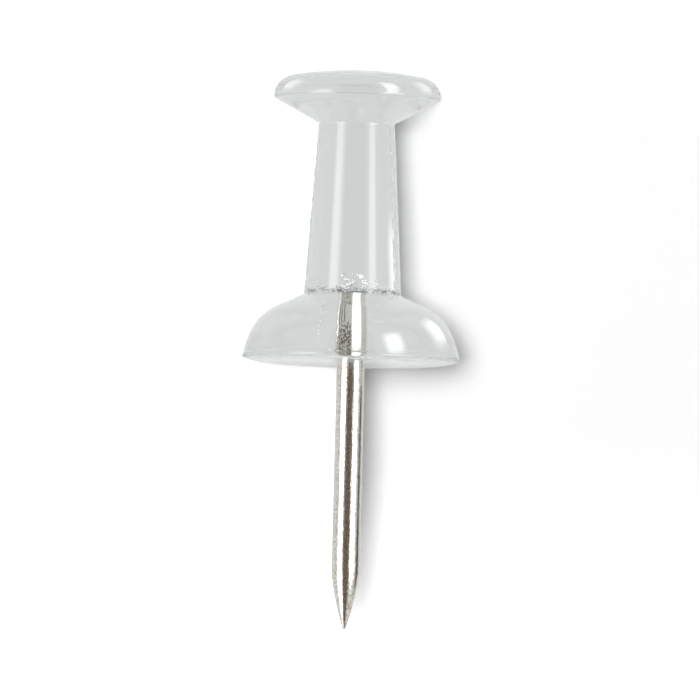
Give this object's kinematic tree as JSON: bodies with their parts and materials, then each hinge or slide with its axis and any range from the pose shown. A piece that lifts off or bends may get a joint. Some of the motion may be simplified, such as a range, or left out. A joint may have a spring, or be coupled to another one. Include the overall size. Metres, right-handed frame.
{
  "type": "push pin",
  "caption": "Clear moulded push pin: a crowned head, tapered grip and domed collar around a bright steel pin with a ground point, pressed by hand into a board.",
  "frame": {"origin": "middle of the flat on the collar's underside, where the pin leaves the plastic", "axes": "+Z along the pin's axis, from the point towards the head; the part is round about +Z"},
  "size_m": [0.0092, 0.0092, 0.0238],
  "materials": {
    "clear_plastic": "clear colourless polystyrene, polished by the mould",
    "plated_steel": "bright nickel-plated drawn wire with a ground point"
  },
  "bodies": {
    "root": {"handle": "clear_plastic", "steel_pin": "plated_steel"}
  },
  "joints": []
}
